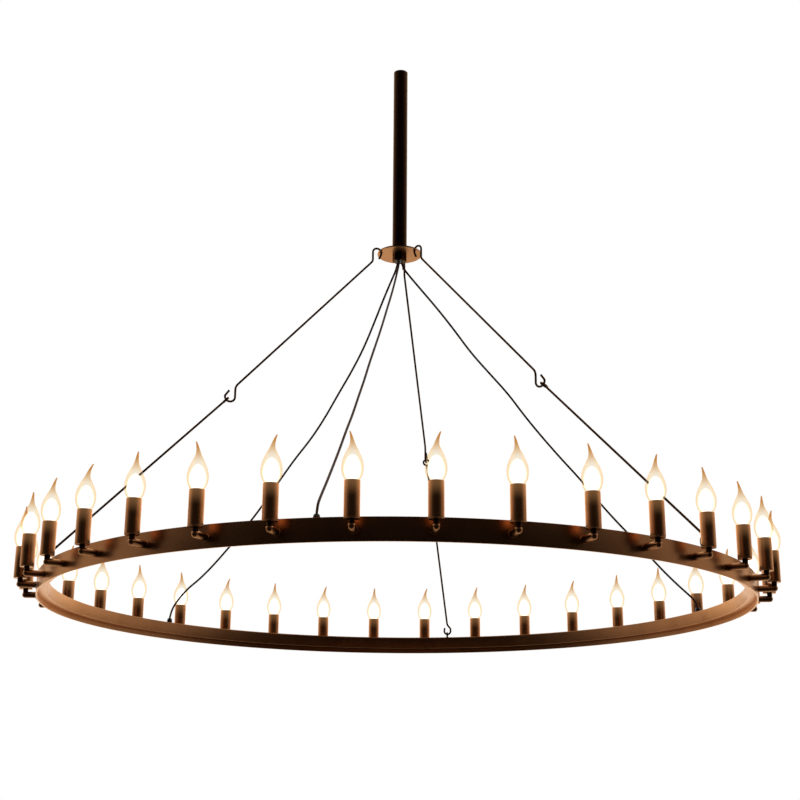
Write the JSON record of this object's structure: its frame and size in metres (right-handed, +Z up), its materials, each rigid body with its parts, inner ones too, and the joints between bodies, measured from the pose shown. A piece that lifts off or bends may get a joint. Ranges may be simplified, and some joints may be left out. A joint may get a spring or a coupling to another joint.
{
  "type": "wagon wheel chandelier",
  "caption": "Flat ring chandelier with candle lamps on short arms around its rim, hung on hooked rod legs from a disc at the foot of a down tube.",
  "frame": {"origin": "centre of the down tube's top end", "axes": "+Z up along the down tube; the front supply cable comes down towards -Y"},
  "size_m": [1.5274, 1.5274, 1.239],
  "materials": {
    "bronze": "oil-rubbed bronze lacquer, satin",
    "polished_bronze": "copper bronze plating, glossy",
    "dark_steel": "blackened",
    "brown_cable": "matt sheath",
    "black_plastic": "matt",
    "lamp_glass": "clear, lit warm white"
  },
  "bodies": {
    "stem": {"stem_tube": "bronze", "hub_disc": "bronze", "hub_nipple": "dark_steel", "hub_nut": "dark_steel", "cable_bush": "black_plastic", "supply_leads": "brown_cable"},
    "wheel": {"outer_band": "bronze", "ring_channel": "bronze", "ring_loom": "brown_cable", "candle_arms": "bronze", "candle_necks": "dark_steel", "candle_cups": "bronze", "candle_sleeves": "polished_bronze", "lamp_holders": "black_plastic", "eye_studs": "dark_steel", "stud_nuts": "dark_steel", "cable_glands": "black_plastic", "supply_cables": "brown_cable"},
    "leg_left": {"upper_rod_left": "bronze", "lower_rod_left": "bronze"},
    "leg_right": {"upper_rod_right": "bronze", "lower_rod_right": "bronze"},
    "leg_rear": {"upper_rod_rear": "bronze", "lower_rod_rear": "bronze"},
    "lamp_01": {"lamp_01": "lamp_glass"},
    "lamp_02": {"lamp_02": "lamp_glass"},
    "lamp_03": {"lamp_03": "lamp_glass"},
    "lamp_04": {"lamp_04": "lamp_glass"},
    "lamp_05": {"lamp_05": "lamp_glass"},
    "lamp_06": {"lamp_06": "lamp_glass"},
    "lamp_07": {"lamp_07": "lamp_glass"},
    "lamp_08": {"lamp_08": "lamp_glass"},
    "lamp_09": {"lamp_09": "lamp_glass"},
    "lamp_10": {"lamp_10": "lamp_glass"},
    "lamp_11": {"lamp_11": "lamp_glass"},
    "lamp_12": {"lamp_12": "lamp_glass"},
    "lamp_13": {"lamp_13": "lamp_glass"},
    "lamp_14": {"lamp_14": "lamp_glass"},
    "lamp_15": {"lamp_15": "lamp_glass"},
    "lamp_16": {"lamp_16": "lamp_glass"},
    "lamp_17": {"lamp_17": "lamp_glass"},
    "lamp_18": {"lamp_18": "lamp_glass"},
    "lamp_19": {"lamp_19": "lamp_glass"},
    "lamp_20": {"lamp_20": "lamp_glass"},
    "lamp_21": {"lamp_21": "lamp_glass"},
    "lamp_22": {"lamp_22": "lamp_glass"},
    "lamp_23": {"lamp_23": "lamp_glass"},
    "lamp_24": {"lamp_24": "lamp_glass"},
    "lamp_25": {"lamp_25": "lamp_glass"},
    "lamp_26": {"lamp_26": "lamp_glass"},
    "lamp_27": {"lamp_27": "lamp_glass"},
    "lamp_28": {"lamp_28": "lamp_glass"},
    "lamp_29": {"lamp_29": "lamp_glass"},
    "lamp_30": {"lamp_30": "lamp_glass"},
    "lamp_31": {"lamp_31": "lamp_glass"},
    "lamp_32": {"lamp_32": "lamp_glass"},
    "lamp_33": {"lamp_33": "lamp_glass"},
    "lamp_34": {"lamp_34": "lamp_glass"},
    "lamp_35": {"lamp_35": "lamp_glass"},
    "lamp_36": {"lamp_36": "lamp_glass"}
  },
  "joints": [
    {"name": "wheel_twist", "type": "hinge", "parent": "stem", "child": "wheel", "pos_m": [0, 0, -0.453], "axis": [0, 0, 1], "range_deg": [-8, 8]},
    {"name": "leg_left_swing", "type": "hinge", "parent": "stem", "child": "leg_left", "pos_m": [-0.03698, -0.02135, -0.4485], "axis": [0, 0, 1], "range_deg": [-8.6, 8.6]},
    {"name": "leg_right_swing", "type": "hinge", "parent": "stem", "child": "leg_right", "pos_m": [0.03698, -0.02135, -0.4485], "axis": [0, 0, 1], "range_deg": [-8.6, 8.6]},
    {"name": "leg_rear_swing", "type": "hinge", "parent": "stem", "child": "leg_rear", "pos_m": [0, 0.0427, -0.4485], "axis": [0, 0, 1], "range_deg": [-8.6, 8.6]},
    {"name": "lamp_01_turn", "type": "hinge", "parent": "wheel", "child": "lamp_01", "pos_m": [0.06528, -0.74615, -1.1492], "axis": [0, 0, 1], "range_deg": [0, 900]},
    {"name": "lamp_02_turn", "type": "hinge", "parent": "wheel", "child": "lamp_02", "pos_m": [0.19385, -0.72348, -1.1492], "axis": [0, 0, 1], "range_deg": [0, 900]},
    {"name": "lamp_03_turn", "type": "hinge", "parent": "wheel", "child": "lamp_03", "pos_m": [0.31654, -0.67883, -1.1492], "axis": [0, 0, 1], "range_deg": [0, 900]},
    {"name": "lamp_04_turn", "type": "hinge", "parent": "wheel", "child": "lamp_04", "pos_m": [0.42961, -0.61355, -1.1492], "axis": [0, 0, 1], "range_deg": [0, 900]},
    {"name": "lamp_05_turn", "type": "hinge", "parent": "wheel", "child": "lamp_05", "pos_m": [0.52962, -0.52962, -1.1492], "axis": [0, 0, 1], "range_deg": [0, 900]},
    {"name": "lamp_06_turn", "type": "hinge", "parent": "wheel", "child": "lamp_06", "pos_m": [0.61355, -0.42961, -1.1492], "axis": [0, 0, 1], "range_deg": [0, 900]},
    {"name": "lamp_07_turn", "type": "hinge", "parent": "wheel", "child": "lamp_07", "pos_m": [0.67883, -0.31654, -1.1492], "axis": [0, 0, 1], "range_deg": [0, 900]},
    {"name": "lamp_08_turn", "type": "hinge", "parent": "wheel", "child": "lamp_08", "pos_m": [0.72348, -0.19385, -1.1492], "axis": [0, 0, 1], "range_deg": [0, 900]},
    {"name": "lamp_09_turn", "type": "hinge", "parent": "wheel", "child": "lamp_09", "pos_m": [0.74615, -0.06528, -1.1492], "axis": [0, 0, 1], "range_deg": [0, 900]},
    {"name": "lamp_10_turn", "type": "hinge", "parent": "wheel", "child": "lamp_10", "pos_m": [0.74615, 0.06528, -1.1492], "axis": [0, 0, 1], "range_deg": [0, 900]},
    {"name": "lamp_11_turn", "type": "hinge", "parent": "wheel", "child": "lamp_11", "pos_m": [0.72348, 0.19385, -1.1492], "axis": [0, 0, 1], "range_deg": [0, 900]},
    {"name": "lamp_12_turn", "type": "hinge", "parent": "wheel", "child": "lamp_12", "pos_m": [0.67883, 0.31654, -1.1492], "axis": [0, 0, 1], "range_deg": [0, 900]},
    {"name": "lamp_13_turn", "type": "hinge", "parent": "wheel", "child": "lamp_13", "pos_m": [0.61355, 0.42961, -1.1492], "axis": [0, 0, 1], "range_deg": [0, 900]},
    {"name": "lamp_14_turn", "type": "hinge", "parent": "wheel", "child": "lamp_14", "pos_m": [0.52962, 0.52962, -1.1492], "axis": [0, 0, 1], "range_deg": [0, 900]},
    {"name": "lamp_15_turn", "type": "hinge", "parent": "wheel", "child": "lamp_15", "pos_m": [0.42961, 0.61355, -1.1492], "axis": [0, 0, 1], "range_deg": [0, 900]},
    {"name": "lamp_16_turn", "type": "hinge", "parent": "wheel", "child": "lamp_16", "pos_m": [0.31654, 0.67883, -1.1492], "axis": [0, 0, 1], "range_deg": [0, 900]},
    {"name": "lamp_17_turn", "type": "hinge", "parent": "wheel", "child": "lamp_17", "pos_m": [0.19385, 0.72348, -1.1492], "axis": [0, 0, 1], "range_deg": [0, 900]},
    {"name": "lamp_18_turn", "type": "hinge", "parent": "wheel", "child": "lamp_18", "pos_m": [0.06528, 0.74615, -1.1492], "axis": [0, 0, 1], "range_deg": [0, 900]},
    {"name": "lamp_19_turn", "type": "hinge", "parent": "wheel", "child": "lamp_19", "pos_m": [-0.06528, 0.74615, -1.1492], "axis": [0, 0, 1], "range_deg": [0, 900]},
    {"name": "lamp_20_turn", "type": "hinge", "parent": "wheel", "child": "lamp_20", "pos_m": [-0.19385, 0.72348, -1.1492], "axis": [0, 0, 1], "range_deg": [0, 900]},
    {"name": "lamp_21_turn", "type": "hinge", "parent": "wheel", "child": "lamp_21", "pos_m": [-0.31654, 0.67883, -1.1492], "axis": [0, 0, 1], "range_deg": [0, 900]},
    {"name": "lamp_22_turn", "type": "hinge", "parent": "wheel", "child": "lamp_22", "pos_m": [-0.42961, 0.61355, -1.1492], "axis": [0, 0, 1], "range_deg": [0, 900]},
    {"name": "lamp_23_turn", "type": "hinge", "parent": "wheel", "child": "lamp_23", "pos_m": [-0.52962, 0.52962, -1.1492], "axis": [0, 0, 1], "range_deg": [0, 900]},
    {"name": "lamp_24_turn", "type": "hinge", "parent": "wheel", "child": "lamp_24", "pos_m": [-0.61355, 0.42961, -1.1492], "axis": [0, 0, 1], "range_deg": [0, 900]},
    {"name": "lamp_25_turn", "type": "hinge", "parent": "wheel", "child": "lamp_25", "pos_m": [-0.67883, 0.31654, -1.1492], "axis": [0, 0, 1], "range_deg": [0, 900]},
    {"name": "lamp_26_turn", "type": "hinge", "parent": "wheel", "child": "lamp_26", "pos_m": [-0.72348, 0.19385, -1.1492], "axis": [0, 0, 1], "range_deg": [0, 900]},
    {"name": "lamp_27_turn", "type": "hinge", "parent": "wheel", "child": "lamp_27", "pos_m": [-0.74615, 0.06528, -1.1492], "axis": [0, 0, 1], "range_deg": [0, 900]},
    {"name": "lamp_28_turn", "type": "hinge", "parent": "wheel", "child": "lamp_28", "pos_m": [-0.74615, -0.06528, -1.1492], "axis": [0, 0, 1], "range_deg": [0, 900]},
    {"name": "lamp_29_turn", "type": "hinge", "parent": "wheel", "child": "lamp_29", "pos_m": [-0.72348, -0.19385, -1.1492], "axis": [0, 0, 1], "range_deg": [0, 900]},
    {"name": "lamp_30_turn", "type": "hinge", "parent": "wheel", "child": "lamp_30", "pos_m": [-0.67883, -0.31654, -1.1492], "axis": [0, 0, 1], "range_deg": [0, 900]},
    {"name": "lamp_31_turn", "type": "hinge", "parent": "wheel", "child": "lamp_31", "pos_m": [-0.61355, -0.42961, -1.1492], "axis": [0, 0, 1], "range_deg": [0, 900]},
    {"name": "lamp_32_turn", "type": "hinge", "parent": "wheel", "child": "lamp_32", "pos_m": [-0.52962, -0.52962, -1.1492], "axis": [0, 0, 1], "range_deg": [0, 900]},
    {"name": "lamp_33_turn", "type": "hinge", "parent": "wheel", "child": "lamp_33", "pos_m": [-0.42961, -0.61355, -1.1492], "axis": [0, 0, 1], "range_deg": [0, 900]},
    {"name": "lamp_34_turn", "type": "hinge", "parent": "wheel", "child": "lamp_34", "pos_m": [-0.31654, -0.67883, -1.1492], "axis": [0, 0, 1], "range_deg": [0, 900]},
    {"name": "lamp_35_turn", "type": "hinge", "parent": "wheel", "child": "lamp_35", "pos_m": [-0.19385, -0.72348, -1.1492], "axis": [0, 0, 1], "range_deg": [0, 900]},
    {"name": "lamp_36_turn", "type": "hinge", "parent": "wheel", "child": "lamp_36", "pos_m": [-0.06528, -0.74615, -1.1492], "axis": [0, 0, 1], "range_deg": [0, 900]}
  ],
  "couplings": [
    {"joint": "leg_left_swing", "follows": "wheel_twist", "ratio": 1.0648},
    {"joint": "leg_right_swing", "follows": "wheel_twist", "ratio": 1.0648},
    {"joint": "leg_rear_swing", "follows": "wheel_twist", "ratio": 1.0648}
  ]
}
